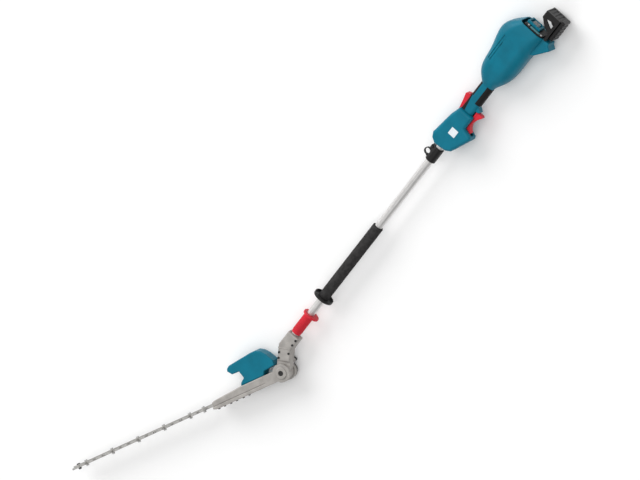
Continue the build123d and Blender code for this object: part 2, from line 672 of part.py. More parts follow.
def neck():
    """The cast neck between pole and head: socket, two gear-case halves, seals and screws."""
    across = Vector(-NECK_DIR.Y, NECK_DIR.X, 0) * NECK_WIDE
    shoulder = TILT + NECK_DIR * (CHEEK_R + 6)
    top_corner = TILT + across + NECK_DIR * ((SOCKET_TOP - TILT.Y - across.Y) / NECK_DIR.Y)
    low_corner = TILT - across + NECK_DIR * ((SOCKET_LOW - TILT.Y + across.Y) / NECK_DIR.Y)
    outline = [
        (SOCKET_MOUTH, SOCKET_TOP), (top_corner.X, top_corner.Y), tuple(shoulder + across)[:2],
        tuple(shoulder - across)[:2], (low_corner.X, low_corner.Y), (SOCKET_MOUTH, SOCKET_LOW),
    ]
    body = moulding(outline, NECK_HALF, 3.0, 6.0)
    tongue = rod_z(0, 0, (-TONGUE_HALF, TONGUE_HALF), TONGUE_R)
    tongue = tongue + block((0, CHEEK_R + 14), (-NECK_WIDE, NECK_WIDE), (-TONGUE_HALF, TONGUE_HALF))
    trunnion_out = TONGUE_HALF + TRUNNION_LENGTH
    tongue = tongue + rod_z(0, 0, (-trunnion_out, trunnion_out), TRUNNION_R)
    body = body + NECK.location * tongue
    body = body - rod_x((POLE_FRONT_X, SOCKET_MOUTH + 1), POLE_R + FIT)
    body = body - rod_x((BEND_X, SOCKET_MOUTH), FLEX_R + 2)
    body = body - Pos(BEND_X, 0, 0) * Sphere(FLEX_R + 5)
    cavity = rod_z(0, 0, (-CROWN_LOW - 0.6, PINION_TIP + 1.6), TONGUE_R - 3)
    cavity = cavity + rod_x((0, NECK_RUN - FLEX_LEAD + 1), NECK_BEARING_R + FIT)
    cavity = cavity + rod_x((0, NECK_RUN), FLEX_R + 2)
    cavity = cavity + rod_z(0, 0, (-99, 99), CRANK_BUSH_R + FIT)
    body = body - NECK.location * cavity
    boss = rod_z(PAWL_X, PAWL_Y, (-NECK_HALF - 5, -TONGUE_HALF), PAWL_PIN_R + 2.5)
    boss_hole = rod_z(PAWL_X, PAWL_Y, (-99, -TONGUE_HALF + 4), PAWL_PIN_R + FIT)
    body = body + NECK.location * boss - NECK.location * boss_hole
    seam = NECK_RUN - NECK_SEAM
    lower = body & NECK.location * block((-99, seam), (-99, 99), (-99, 99))
    upper = body & NECK.location * block((seam, 199), (-99, 99), (-99, 99))
    clamp_y = SOCKET_LOW + 5
    for x in (SOCKET_MOUTH - 9, SOCKET_MOUTH - 27):
        upper = upper - rod_z(x, clamp_y, (-99, 99), SCREW_R + FIT)
    add("neck_socket", upper)
    places = ((62.0, 15.5), (62.0, -15.5), (44.0, 15.5))
    screws = []
    for x, y in places:
        lower = lower - NECK.location * rod_z(x, y, (-12, NECK_HALF + 1), SCREW_R + FIT)
        head = rod_z(x, y, (NECK_HALF, NECK_HALF + SCREW_HEAD), SCREW_HEAD_R)
        head = head - hexagon(x, y, (NECK_HALF + 1, 99), SCREW_HEAD_R)
        screws.append(NECK.location * (head + rod_z(x, y, (-11.5, NECK_HALF), SCREW_R)))
    left, right = halves(lower)
    add("neck_case_left", left)
    add("neck_case_right", right)
    add("neck_screws", *screws)
    screws = []
    for x in (SOCKET_MOUTH - 9, SOCKET_MOUTH - 27):
        head = rod_z(x, clamp_y, (NECK_HALF, NECK_HALF + SCREW_HEAD), SCREW_HEAD_R)
        head = head - hexagon(x, clamp_y, (NECK_HALF + 1, 99), SCREW_HEAD_R)
        screws.append(head + rod_z(x, clamp_y, (-NECK_HALF, NECK_HALF), SCREW_R))
    add("neck_screws", *screws)


def gears():
    """The flexible link round the bend, the pinion, the crown gear on its crank and their bearings."""
    turn_r = FLEX_LEAD / math.tan(math.radians(NECK_DROP / 2))
    start = (BEND_X + FLEX_LEAD, 0, 0)
    path = JernArc(start, (-1, 0, 0), turn_r, NECK_DROP)
    section = Plane(origin=start, z_dir=(-1, 0, 0)) * Circle(FLEX_R)
    add("flexible_link", sweep(section, path))
    root = rod_x((PINION_SPAN[0], NECK_RUN - FLEX_LEAD), FLEX_R) + rod_x(PINION_SPAN, PINION_ROOT)
    for turn in range(PINION_TEETH):
        tooth = block(PINION_SPAN, (-TOOTH_WIDTH / 2, TOOTH_WIDTH / 2), (-PINION_TIP, -PINION_ROOT + 0.5))
        root = root + Rot(360 / PINION_TEETH * turn, 0, 0) * tooth
    add("neck_pinion", NECK.location * root)
    bearings = []
    for x in (PINION_SPAN[1] + 4.0, NECK_RUN - FLEX_LEAD - 14.0):
        span = (x, x + 8)
        bearings.append(NECK.location * (rod_x(span, NECK_BEARING_R) - rod_x(span, FLEX_R + RUN)))
    add("neck_bearings", *bearings)
    crown_base = -PINION_TIP - MESH_GAP
    crown = rod_z(0, 0, (-CROWN_LOW, crown_base), PINION_SPAN[1] + 1)
    for turn in range(CROWN_TEETH):
        tooth = block(
            (PINION_SPAN[0], PINION_SPAN[1] + 1), (-TOOTH_WIDTH / 2, TOOTH_WIDTH / 2),
            (crown_base - 0.5, -PINION_ROOT - MESH_GAP),
        )
        crown = crown + Rot(0, 0, 360 / CROWN_TEETH * (turn + 0.5)) * tooth
    ecc_near = CHEEK_MID + (CHEEK_ROOM - ECCENTRIC_WIDTH) / 2
    ecc_far = ecc_near + ECCENTRIC_WIDTH
    crank = rod_z(0, 0, (-ecc_far, ecc_far), CRANK_R)
    crank = crank + rod_z(0, CRANK_THROW, (ecc_near, ecc_far), ECCENTRIC_R)
    crank = crank + rod_z(0, -CRANK_THROW, (-ecc_far, -ecc_near), ECCENTRIC_R)
    add("crank_gear", HEAD.location * crank + NECK.location * crown)
    bushes = []
    trunnion_out = TONGUE_HALF + TRUNNION_LENGTH
    for span in ((PINION_TIP + 1.6, trunnion_out), (-trunnion_out, -CROWN_LOW - 0.6)):
        bushes.append(NECK.location * (rod_z(0, 0, span, CRANK_BUSH_R) - rod_z(0, 0, span, CRANK_R + RUN)))
    add("neck_bearings", *bushes)


def lock():
    """The pawl that holds the head's index disc, and its pin."""
    tooth_x = INDEX_R + 1.0
    outline = [
        (PAWL_X - 5, PAWL_Y), (PAWL_X + 4, PAWL_Y - 4), (PEG_LOCAL.X + 4, PEG_LOCAL.Y - 3),
        (PEG_LOCAL.X + 3, PEG_LOCAL.Y + 4), (PEG_LOCAL.X - 4, PEG_LOCAL.Y + 3), (PAWL_X + 3, 9),
        (tooth_x, 6), (tooth_x, 2.5), (PAWL_X - 3.5, 0),
    ]
    pawl = slab(outline, (PAWL_LOW, PAWL_TOP))
    pawl = pawl + rod_z(PAWL_X, PAWL_Y, (PAWL_LOW, -NECK_HALF - 5 - GAP), PAWL_PIN_R + 2.5)
    pawl = pawl + rod_z(PEG_LOCAL.X, PEG_LOCAL.Y, (PAWL_LOW, PULL_Z + PULL_R), PEG_R)
    pawl = pawl - rod_z(PAWL_X, PAWL_Y, (-99, 0), PAWL_PIN_R + RUN)
    add("lock_pawl", NECK.location * pawl)
    pin = rod_z(PAWL_X, PAWL_Y, (PAWL_LOW - 0.6, -TONGUE_HALF + 3), PAWL_PIN_R)
    pin = pin + rod_z(PAWL_X, PAWL_Y, (PAWL_LOW - 2.6, PAWL_LOW - 0.6), PAWL_PIN_R + 2)
    add("pawl_pin", NECK.location * pin)


def head_case():
    """The cutter head's case, bottom cover, cheeks, index disc, cap ring and screws."""
    outline = [
        (CASE_START, CASE_SPLIT), (CASE_START, CASE_TOP), (148, CASE_TOP), (162, CASE_TOP - 1.6),
        (212, CASE_TOP - 4.4), (CASE_END - 10, CASE_TOP - 7), (CASE_END, CASE_TOP - 10),
        (CASE_END, CASE_SPLIT),
    ]
    case = moulding(outline, CASE_HALF, 1.5, 3.0)
    tail = block((0, CHEEK_END), (-99, 99), (CHEEK_IN, 99))
    case = case - tail - mirror(tail, Plane.XY)
    channel = block((CHEEK_END - 9, CASE_END + 9), (CASE_SPLIT - 1, BAR_TOP), (-CHANNEL_HALF, CHANNEL_HALF))
    case = case - channel
    slot = block((CHEEK_END - 1, BLADE_ROOT + 40), (CASE_SPLIT - 1, 8.5), (CHEEK_MID, CHEEK_FAR))
    case = case - slot - mirror(slot, Plane.XY)
    bolts = []
    for s in CASE_BOLTS:
        for z in (-CASE_BOLT_Z, CASE_BOLT_Z):
            case = case - rod_y(s, (CASE_SPLIT - 1, CASE_BOLT_TOP), z, SCREW_R + FIT)
    add("gear_case", HEAD.location * case)
    outline = [
        (CASE_START, CASE_SPLIT), (CASE_END + 3, CASE_SPLIT), (CASE_END + 3, CASE_LOW + 4),
        (CASE_END - 8, CASE_LOW), (CASE_START + 6, CASE_LOW), (CASE_START, CASE_LOW + 4),
    ]
    cover = moulding(outline, CASE_HALF, 1.0, 2.0) - tail - mirror(tail, Plane.XY)
    pocket_half = CASE_HALF - 8.5
    pocket_rise = (CASE_LOW + 3, CASE_SPLIT + 1)
    cover = cover - block((CHEEK_END + 6, CASE_END - 12), pocket_rise, (-pocket_half, pocket_half))
    for s in CASE_BOLTS:
        for z in (-CASE_BOLT_Z, CASE_BOLT_Z):
            cover = cover - rod_y(s, (CASE_LOW - 1, CASE_SPLIT + 1), z, SCREW_R + FIT)
            head = rod_y(s, (CASE_LOW - SCREW_HEAD, CASE_LOW), z, SCREW_HEAD_R)
            bolts.append(HEAD.location * (head + rod_y(s, (CASE_LOW, CASE_BOLT_TOP - GAP), z, SCREW_R)))
    add("case_cover", HEAD.location * cover)
    add("head_screws", *bolts)
    for name, side in (("left_cheek", -1), ("right_cheek", 1)):
        cheek = rod_z(0, 0, (CHEEK_IN, CHEEK_OUT), CHEEK_R)
        cheek = cheek + block((0, CHEEK_END), (CASE_LOW, CASE_TOP), (CHEEK_IN, CHEEK_OUT))
        room = rod_z(0, 0, (CHEEK_MID, CHEEK_FAR), CHEEK_R - 2.6)
        room = room + block((0, CHEEK_END + 1), (-10, 10), (CHEEK_MID, CHEEK_FAR))
        cheek = cheek - room - rod_z(0, 0, (CHEEK_IN - 1, CHEEK_MID + 1), TRUNNION_R + RUN)
        cheek = cheek - rod_z(0, 0, (CHEEK_FAR - 1, CHEEK_OUT + 1), BOLT_R + FIT)
        if side < 0:
            ring = rod_z(0, 0, (CHEEK_OUT, CHEEK_OUT + RING_HEIGHT), RING_R)
            ring = chamfer(ring.edges().sort_by(Axis.Z)[-1], 1.0)
            ring = ring - rod_z(0, 0, (CHEEK_OUT, CHEEK_OUT + 99), RING_BORE)
            cheek = mirror(cheek + ring, Plane.XY)
        add(name, HEAD.location * cheek)
    disc = rod_z(0, 0, (CHEEK_OUT, CHEEK_OUT + INDEX_WIDTH), INDEX_R)
    for level in range(3):
        low = CHEEK_OUT + 2.5 + 3.0 * level
        groove = rod_z(0, 0, (low, low + 1.2), INDEX_R + 1) - rod_z(0, 0, (low, low + 1.2), INDEX_R - 1.6)
        disc = disc - groove
    for step in range(INDEX_NOTCHES):
        angle = 180 - HEAD_LIFT - NECK_DROP + INDEX_STEP * (step - 1)
        disc = disc - Rot(0, 0, angle) * rod_z(INDEX_R, 0, (CHEEK_OUT - 1, CHEEK_OUT + 99), 1.9)
    disc = disc - rod_z(0, 0, (CHEEK_OUT - 1, CHEEK_OUT + 99), BOLT_R + FIT)
    add("index_disc", HEAD.location * disc)
    nut_low = CHEEK_OUT + INDEX_WIDTH
    nut = rod_z(0, 0, (nut_low, nut_low + REST_NUT_HEIGHT), REST_NUT_R)
    nut = chamfer(nut.edges().sort_by(Axis.Z)[-1], 1.2)
    for turn in range(10):
        nut = nut - Rot(0, 0, 36 * turn) * rod_z(REST_NUT_R + 0.8, 0, (nut_low - 1, nut_low + 99), 2.2)
    nut = nut + rod_z(0, 0, (CHEEK_FAR + GAP, nut_low), BOLT_R)
    screw = rod_z(0, 0, (-CHEEK_OUT - RING_HEIGHT + 1, -CHEEK_OUT), RING_BORE - 0.3)
    screw = screw - hexagon(0, 0, (-CHEEK_OUT - 9, -CHEEK_OUT - 0.6), RING_BORE)
    screw = screw + rod_z(0, 0, (-CHEEK_OUT, -CHEEK_FAR - GAP), BOLT_R)
    add("tilt_bolts", HEAD.location * nut, HEAD.location * screw)


# Head grip
HEAD_GRIP_OUTLINE = [
    (13, 31), (11, 46), (25, 72), (38, 87), (52, 95), (66, 95), (107, 91), (153, 86), (163, 80), (166, 72),
    (155, 58), (130, 57), (124, 34), (138, 25), (144, CASE_TOP), (60, CASE_TOP), (52, 27),
]
HEAD_GRIP_SCREWS = ((40, 42), (120, 64), (80, 30))


def head_grip():
    """Both halves of the teal grip on top of the cutter head."""
    outer = moulding(HEAD_GRIP_OUTLINE, HEAD_GRIP_HALF, 2.0, 4.0)
    shell = outer - moulding(HEAD_GRIP_OUTLINE, HEAD_GRIP_HALF, 2.0, 4.0, WALL)
    bosses, holes, screws = shell_screws(HEAD_GRIP_SCREWS, 12.0, 8.0)
    for boss in bosses:
        shell = shell + (boss & outer)
    for hole in holes:
        shell = shell - mirror(hole, Plane.XY)
    right, left = halves(shell)
    add("head_grip_left", HEAD.location * left)
    add("head_grip_right", HEAD.location * right)
    add("head_screws", *[HEAD.location * mirror(screw, Plane.XY) for screw in screws])


def blade_places():
    """Where the bolts stand along the blades."""
    return list(ROOT_BOLTS) + [BOLT_FIRST + BOLT_PITCH * step for step in range(BOLT_COUNT)]


def blade_solids(top):
    """One blade: its slotted spine, and a tooth standing on each side of it at every pitch."""
    spine = [
        (BLADE_ROOT, -BLADE_SPINE), (BLADE_TIP - 18, -BLADE_SPINE), (BLADE_TIP, -3), (BLADE_TIP, 3),
        (BLADE_TIP - 18, BLADE_SPINE), (BLADE_ROOT, BLADE_SPINE),
    ]
    face = make_face(Polyline(*spine, close=True))
    for s in blade_places() + [TIP_SCREW]:
        length = 2 * (BOLT_R + CRANK_THROW + GAP)
        face = face - Pos(s, 0) * SlotOverall(length, 2 * (BOLT_R + GAP))
    faces = [face]
    for step in range(TOOTH_COUNT):
        s = TOOTH_FIRST + TOOTH_PITCH * step
        for side in (-1, 1):
            tooth = [
                (s - TOOTH_BASE / 2, side * BLADE_SPINE), (s - TOOTH_TIP / 2, side * TOOTH_REACH),
                (s + TOOTH_TIP / 2, side * TOOTH_REACH), (s + TOOTH_BASE / 2, side * BLADE_SPINE),
            ]
            faces.append(make_face(Polyline(*tooth, close=True)))
    flat = Plane(origin=(0, top, 0), x_dir=(1, 0, 0), z_dir=(0, -1, 0))
    return [extrude(flat * face, BLADE_THICK, dir=(0, -1, 0)) for face in faces]


def yoke(side, foot):
    """The scotch yoke that carries one crank throw's motion to its blade, with a foot beside the blade."""
    half_s = ECCENTRIC_R + 2 * CRANK_THROW + GAP
    half_n = ECCENTRIC_R + CRANK_THROW + GAP
    rim = 3.0
    near = CHEEK_MID + (CHEEK_ROOM - 3.2) / 2
    face = RectangleRounded(2 * (half_s + rim), 2 * (half_n + rim), 7.0)
    arm = [(half_s, foot), (half_s, 6), (BLADE_ROOT + 24, 6), (BLADE_ROOT + 24, foot)]
    face = face + make_face(Polyline(*arm, close=True))
    face = face - RectangleRounded(2 * half_s, 2 * half_n, 3.0)
    body = extrude(Pos(0, 0, near) * face, 3.2)
    body = body + block((BLADE_ROOT, BLADE_ROOT + 28), (foot - BLADE_THICK, foot), (BLADE_SPINE, near + 3.2))
    return body if side > 0 else mirror(body, Plane.XY)


def blades():
    """Guide bar, both blades with their yokes, the blade bolts and the tip screw."""
    bar = block((BAR_START, BLADE_TIP - 8), (BAR_TOP - BAR_THICK, BAR_TOP), (-BAR_HALF, BAR_HALF))
    bar = fillet(bar.edges().filter_by(Axis.Y).group_by(Axis.X)[-1], BAR_HALF - 2)
    nut_top = LOWER_TOP - BLADE_THICK - 0.3
    bolts = []
    for s in blade_places() + [TIP_SCREW]:
        bar = bar - rod_y(s, (-99, 99), 0, BOLT_R + FIT)
        inside = s < CASE_END
        shank = rod_y(s, (nut_top, BAR_TOP), 0, BOLT_R)
        washer = rod_y(s, (nut_top - 1.0, nut_top), 0, BOLT_HEAD_R + (0 if inside else 1.2))
        bolt = shank + washer
        if not inside:
            nut = extrude(RegularPolygon(BOLT_HEAD_R - 0.4, 6), BOLT_HEAD)
            bolt = bolt + Pos(s, nut_top - 1, 0) * Rot(90, 0, 0) * nut
            if s == TIP_SCREW:
                dome = rod_y(s, (BAR_TOP, BAR_TOP + 3.4), 0, BOLT_HEAD_R)
                add("tip_screw", HEAD.location * (bolt + fillet(dome.edges().sort_by(Axis.Y)[-1], 1.6)))
                continue
            cap = extrude(RegularPolygon(BOLT_HEAD_R, 6), BOLT_HEAD)
            bolt = bolt + Pos(s, BAR_TOP, 0) * Rot(-90, 0, 0) * cap
        bolts.append(bolt)
    add("guide_bar", HEAD.location * bar)
    add("blade_bolts", *[HEAD.location * bolt for bolt in bolts])
    for name, side, top in (("upper", -1, UPPER_TOP), ("lower", 1, LOWER_TOP)):
        add(name + "_blade", *[HEAD.location * solid for solid in blade_solids(top)])
        add(name + "_yoke", HEAD.location * yoke(side, top))


def build():
    """Make every piece, in the order the tool goes together."""
    motor_housing()
    motor()
    battery_bay()
    handle()
    controls()
    pole()
    strap_hanger()
    front_grip()
    release_sleeve()
    neck()
    gears()
    lock()
    head_case()
    head_grip()
    blades()


def save():
    """Move the strap eye to the origin and write each piece."""
    os.makedirs("parts", exist_ok=True)
    for name, solids in pieces.items():
        moved = [Pos(-EYE_X, -EYE_Y, 0) * solid for solid in solids]
        export_step(moved[0] if len(moved) == 1 else Compound(moved), "parts/" + name + ".step")


build()
save()
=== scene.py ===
import json
import math

import bmesh
import bpy
from mathutils import Matrix, Vector, noise as fractal


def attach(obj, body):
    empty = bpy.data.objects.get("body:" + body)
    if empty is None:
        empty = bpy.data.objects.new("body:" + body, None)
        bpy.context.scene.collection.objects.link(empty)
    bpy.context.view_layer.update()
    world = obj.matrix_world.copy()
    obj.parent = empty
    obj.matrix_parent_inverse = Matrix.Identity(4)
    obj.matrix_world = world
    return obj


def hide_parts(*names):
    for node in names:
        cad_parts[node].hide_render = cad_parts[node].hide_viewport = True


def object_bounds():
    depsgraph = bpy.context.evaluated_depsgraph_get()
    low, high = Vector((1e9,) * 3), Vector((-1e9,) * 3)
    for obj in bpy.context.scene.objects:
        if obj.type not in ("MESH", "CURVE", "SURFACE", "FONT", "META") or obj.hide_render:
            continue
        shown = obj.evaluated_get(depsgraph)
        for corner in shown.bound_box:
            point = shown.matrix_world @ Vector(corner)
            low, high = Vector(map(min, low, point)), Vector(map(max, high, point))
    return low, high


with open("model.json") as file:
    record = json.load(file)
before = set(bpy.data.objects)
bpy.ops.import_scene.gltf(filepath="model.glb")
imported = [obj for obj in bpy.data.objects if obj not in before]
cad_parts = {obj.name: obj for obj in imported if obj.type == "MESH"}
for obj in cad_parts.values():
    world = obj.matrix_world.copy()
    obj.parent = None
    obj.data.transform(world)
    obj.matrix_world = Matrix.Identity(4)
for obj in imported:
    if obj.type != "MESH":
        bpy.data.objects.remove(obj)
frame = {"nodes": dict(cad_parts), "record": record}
start_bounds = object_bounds()
nodes = frame["nodes"]

# Lengths here are metres in the row frame: the strap eye is the origin, +X runs along the pole to
# the battery end, +Y is the tool's top and +Z its left side.
POLE_Y = -0.023
POLE_R = 0.012
FOAM_FRONT, FOAM_REAR = -0.584, -0.291
FOAM_R = 0.0175
FOAM_END_ROUND = 0.004
FOAM_UNEVEN = 0.00025
FOAM_LUMPS = 220.0  # per metre
BLADE_TURN = math.radians(25.3)

# Fine lines per metre along X, Y and Z
POLE_LINES = (6.0, 900.0, 900.0)
BLADE_LINES = (8.0, 900.0, 300.0)
TURNED_LINES = (500.0, 500.0, 60.0)
SHEET_LINES = (1600.0, 20.0, 20.0)

# Blank plate on the handle's left side
PLATE_MIDDLE = (0.109, -0.033, 0.0272)
PLATE_SIZE = (0.0245, 0.0245, 0.0006)
PLATE_RIM = 0.0002

# Pale strips between the screws of the terminal plate, one each side
STRIP_MIDDLE = (0.5323, -0.0395, 0.0300)
STRIP_SIZE = (0.0008, 0.034, 0.0125)
STRIP_RIM = 0.0003
SLAB_CORNER = 0.0015

# Black rubber surround of the lock lever on the grip's rounded upper corners; it continues the grip's
# black strip and also paints the shade at the lever's lower end
SURROUND_FRONT, SURROUND_REAR = 0.1835, 0.2370
SURROUND_LOW_FRONT, SURROUND_LOW_REAR = -0.0012, 0.0082
SURROUND_TOP = 0.0123
SURROUND_THICK = 0.0007
GRIP_CORNER = 0.013
GRIP_CORNER_Y, GRIP_CORNER_Z = -0.0145, 0.0045

# Skirt that closes the trigger's slot
SKIRT_OUTLINE = [(0.1800, -0.0535), (0.1800, -0.0480), (0.2000, -0.0475), (0.2015, -0.0535)]
SKIRT_HALF = 0.0096
SKIRT_EDGE = 0.0006

# Bead round the neck at its seam
TILT_AXIS = Vector((-0.8502, -0.06917, 0.0))
NECK_TURN = math.radians(32.6)
SEAM_RUN = 0.0757
NECK_HALF_ACROSS, NECK_HALF_WIDE = 0.021, 0.019
NECK_CORNER = 0.006
BEAD_R = 0.0018

# The camera of the photo: far off with a long lens
VIEW_RIGHT = Vector((0.56373, -0.72336, -0.39833))
VIEW_BACK = Vector((0.3907, -0.1914, 0.9004))
VIEW_CENTRE = Vector((-0.4541, 0.0935, -0.0017))
VIEW_DISTANCE = 50.0
VIEW_REACH = 125.0
VIEW_WIDTH = 1.9213
SENSOR = 36.0

# Light: where each sun stands, its breadth in degrees and its strength
SUNS = {
    "key": ((0.6, 3.4, 1.9), 52.0, 2.0),
    "front": ((1.0, -0.2, 4.2), 58.0, 1.02),
    "fill": ((-2.4, -0.4, 2.2), 48.0, 0.32),
}
WORLD_LIGHT = 0.38
FLOOR_REACH = 30.0
FLOOR_GAP = 0.0002
FLOOR_GREY = (0.8, 0.8, 0.8)
FLOOR_SEEN = (0.99, 0.99, 0.99)
FLOOR_SPECK = (0.75, 0.75, 0.75)

# How the sharp edges of small rigid parts are rounded, and how wide
SOFT_ANGLE = math.radians(32.0)
FLAT_ANGLE = math.radians(0.6)
WELD_REACH = 0.00002
SOFT_EDGES = {
    "strap_hanger": 0.0007,
    "hand_stop": 0.0007,
    "left_cheek": 0.0007,
    "right_cheek": 0.0007,
    "battery_guard": 0.0007,
    "terminal_plate": 0.0006,
    "terminal_block": 0.0006,
    "trigger": 0.0007,
    "grip_overmould": 0.0006,
    "neck_socket": 0.0006,
    "case_cover": 0.0005,
    "tilt_bolts": 0.0005,
    "blade_bolts": 0.0004,
    "head_screws": 0.0003,
    "housing_screws": 0.0003,
    "neck_screws": 0.0003,
    "terminal_plate_screws": 0.0003,
    "tip_screw": 0.0004,
    "index_disc": 0.0003,
    "lock_lever": 0.0003,
    "lock_pawl": 0.0003,
    "release_sleeve": 0.0003,
    "guide_bar": 0.0004,
    "upper_blade": 0.0003,
    "lower_blade": 0.0003,
}


# Building blocks of the materials

# Painted shade reaches this many times further into hollows than wear reaches from edges
HOLLOW_TO_EDGE = 6


def material(name, colour, rough, metal=0.0, gloss=0.5):
    """A material with its main shader set."""
    mat = bpy.data.materials.new(name)
    mat.use_nodes = True
    tree = mat.node_tree
    shader = tree.nodes["Principled BSDF"]
    shader.inputs["Base Color"].default_value = (*colour, 1.0)
    shader.inputs["Roughness"].default_value = rough
    shader.inputs["Metallic"].default_value = metal
    shader.inputs["Specular IOR Level"].default_value = gloss
    return mat, tree, shader


def place(tree, stretch=(1.0, 1.0, 1.0), turn=0.0):
    """Object coordinates, turned about Z and then stretched."""
    coord = tree.nodes.new("ShaderNodeTexCoord")
    spin = tree.nodes.new("ShaderNodeMapping")
    spin.inputs["Rotation"].default_value = (0.0, 0.0, turn)
    tree.links.new(coord.outputs["Object"], spin.inputs["Vector"])
    pull = tree.nodes.new("ShaderNodeMapping")
    pull.inputs["Scale"].default_value = stretch
    tree.links.new(spin.outputs["Vector"], pull.inputs["Vector"])
    return pull.outputs["Vector"]


def noise(tree, vector, scale, detail=3.0):
    """Noise from 0 to 1."""
    tex = tree.nodes.new("ShaderNodeTexNoise")
    tex.inputs["Scale"].default_value = scale
    tex.inputs["Detail"].default_value = detail
    tree.links.new(vector, tex.inputs["Vector"])
    return tex.outputs["Fac"]


def cells(tree, vector, scale):
    """Distance to the middle of the nearest cell."""
    tex = tree.nodes.new("ShaderNodeTexVoronoi")
    tex.inputs["Scale"].default_value = scale
    tree.links.new(vector, tex.inputs["Vector"])
    return tex.outputs["Distance"]


def spread(tree, value, low, high, start=0.3, end=0.7):
    """A value brought from one range to another."""
    node = tree.nodes.new("ShaderNodeMapRange")
    node.inputs["From Min"].default_value = start
    node.inputs["From Max"].default_value = end
    node.inputs["To Min"].default_value = low
    node.inputs["To Max"].default_value = high
    tree.links.new(value, node.inputs["Value"])
    return node.outputs["Result"]


def combine(tree, operation, first, second):
    """Two values multiplied, or the larger of them."""
    node = tree.nodes.new("ShaderNodeMath")
    node.operation = operation
    tree.links.new(first, node.inputs[0])
    tree.links.new(second, node.inputs[1])
    return node.outputs["Value"]


def tint(tree, value, dark, light):
    """A colour between two, picked by a value."""
    node = tree.nodes.new("ShaderNodeMix")
    node.data_type = "RGBA"
    node.inputs["A"].default_value = (*dark, 1.0)
    node.inputs["B"].default_value = (*light, 1.0)
    tree.links.new(value, node.inputs["Factor"])
    return node.outputs["Result"]


def overlay(tree, below, colour, mask):
    """A colour laid over another where the mask is 1."""
    node = tree.nodes.new("ShaderNodeMix")
    node.data_type = "RGBA"
    node.inputs["B"].default_value = (*colour, 1.0)
    tree.links.new(below, node.inputs["A"])
    tree.links.new(mask, node.inputs["Factor"])
    return node.outputs["Result"]


def bump(tree, shader, height, strength, distance):
    """Surface relief, laid over any relief the shader already has."""
    node = tree.nodes.new("ShaderNodeBump")
    node.inputs["Strength"].default_value = strength
    node.inputs["Distance"].default_value = distance
    tree.links.new(height, node.inputs["Height"])
    normal = shader.inputs["Normal"]
    if normal.is_linked:
        tree.links.new(normal.links[0].from_socket, node.inputs["Normal"])
    tree.links.new(node.outputs["Normal"], normal)


def edge_mask(tree, shader, reach):
    """Round the shading of sharp edges, and return a mask that is 1 along them."""
    rounded = tree.nodes.new("ShaderNodeBevel")
    rounded.samples = 4
    rounded.inputs["Radius"].default_value = reach
    tree.links.new(rounded.outputs["Normal"], shader.inputs["Normal"])
    surface = tree.nodes.new("ShaderNodeNewGeometry")
    likeness = tree.nodes.new("ShaderNodeVectorMath")
    likeness.operation = "DOT_PRODUCT"
    tree.links.new(rounded.outputs["Normal"], likeness.inputs[0])
    tree.links.new(surface.outputs["Normal"], likeness.inputs[1])
    return spread(tree, likeness.outputs["Value"], low=1.0, high=0.0, start=0.82, end=0.99)


def hollow_shade_mask(tree, reach):
    """A mask that is 1 in a part's own corners and grooves, where shade falls, for painted shade."""
    node = tree.nodes.new("ShaderNodeAmbientOcclusion")
    node.samples = 4
    node.only_local = True
    node.inputs["Distance"].default_value = reach
    return spread(tree, node.outputs["AO"], low=1.0, high=0.0, start=0.3, end=0.85)


def shade(colour, factor):
    """A colour made darker or lighter."""
    return tuple(min(1.0, channel * factor) for channel in colour)


def wear_and_painted_shade(tree, shader, tone, rubbed, painted_hollow_shade, reach):
    """Lay rubbed edges, and painted shade in the hollows, over a tone, as the surface's colour."""
    patches = noise(tree, place(tree), scale=75.0, detail=5.0)
    patchy = spread(tree, patches, low=0.0, high=1.0, start=0.38, end=0.72)
    edges = combine(tree, "MULTIPLY", edge_mask(tree, shader, reach), patchy)
    tone = overlay(tree, tone, rubbed, edges)
    # Painted shade: the colour darkens by ambient occlusion in the part's own corners and grooves
    tone = overlay(tree, tone, painted_hollow_shade, hollow_shade_mask(tree, HOLLOW_TO_EDGE * reach))
    tree.links.new(tone, shader.inputs["Base Color"])


# The materials

def moulded(name, colour, rough, gloss, grain, relief):
    """Moulded plastic or rubber: fine grain, scuffs and slight unevenness of colour."""
    mat, tree, shader = material(name, colour, rough, gloss=gloss)
    where = place(tree)
    broad = spread(tree, noise(tree, where, scale=22.0), low=0.0, high=1.0)
    tone = tint(tree, broad, dark=shade(colour, 0.9), light=shade(colour, 1.1))
    # The darker colour passed here is painted shade for the hollows
    wear_and_painted_shade(tree, shader, tone, rubbed=shade(colour, 1.45), painted_hollow_shade=shade(colour, 0.5), reach=0.0008)
    scuff = noise(tree, place(tree, stretch=(1.0, 3.0, 3.0)), scale=180.0, detail=5.0)
    uneven = spread(tree, scuff, low=rough - 0.07, high=rough + 0.12)
    tree.links.new(uneven, shader.inputs["Roughness"])
    bump(tree, shader, noise(tree, where, grain, detail=2.0), relief, distance=0.0002)
    return mat


def cast_metal(name, colour, rough):
    """Sand-cast aluminium with a blasted skin and handling marks."""
    mat, tree, shader = material(name, colour, rough, metal=0.45)
    where = place(tree)
    broad = spread(tree, noise(tree, where, scale=45.0, detail=4.0), low=0.0, high=1.0)
    tone = tint(tree, broad, dark=shade(colour, 0.84), light=shade(colour, 1.12))
    # The darker colour passed here is painted shade for the hollows
    wear_and_painted_shade(tree, shader, tone, rubbed=shade(colour, 1.5), painted_hollow_shade=shade(colour, 0.35), reach=0.0009)
    marks = noise(tree, where, scale=300.0, detail=5.0)
    uneven = spread(tree, marks, low=rough - 0.08, high=rough + 0.1)
    tree.links.new(uneven, shader.inputs["Roughness"])
    blasted = noise(tree, where, scale=900.0, detail=4.0)
    bump(tree, shader, blasted, strength=0.3, distance=0.0003)
    bump(tree, shader, cells(tree, where, scale=420.0), strength=0.12, distance=0.0003)
    return mat


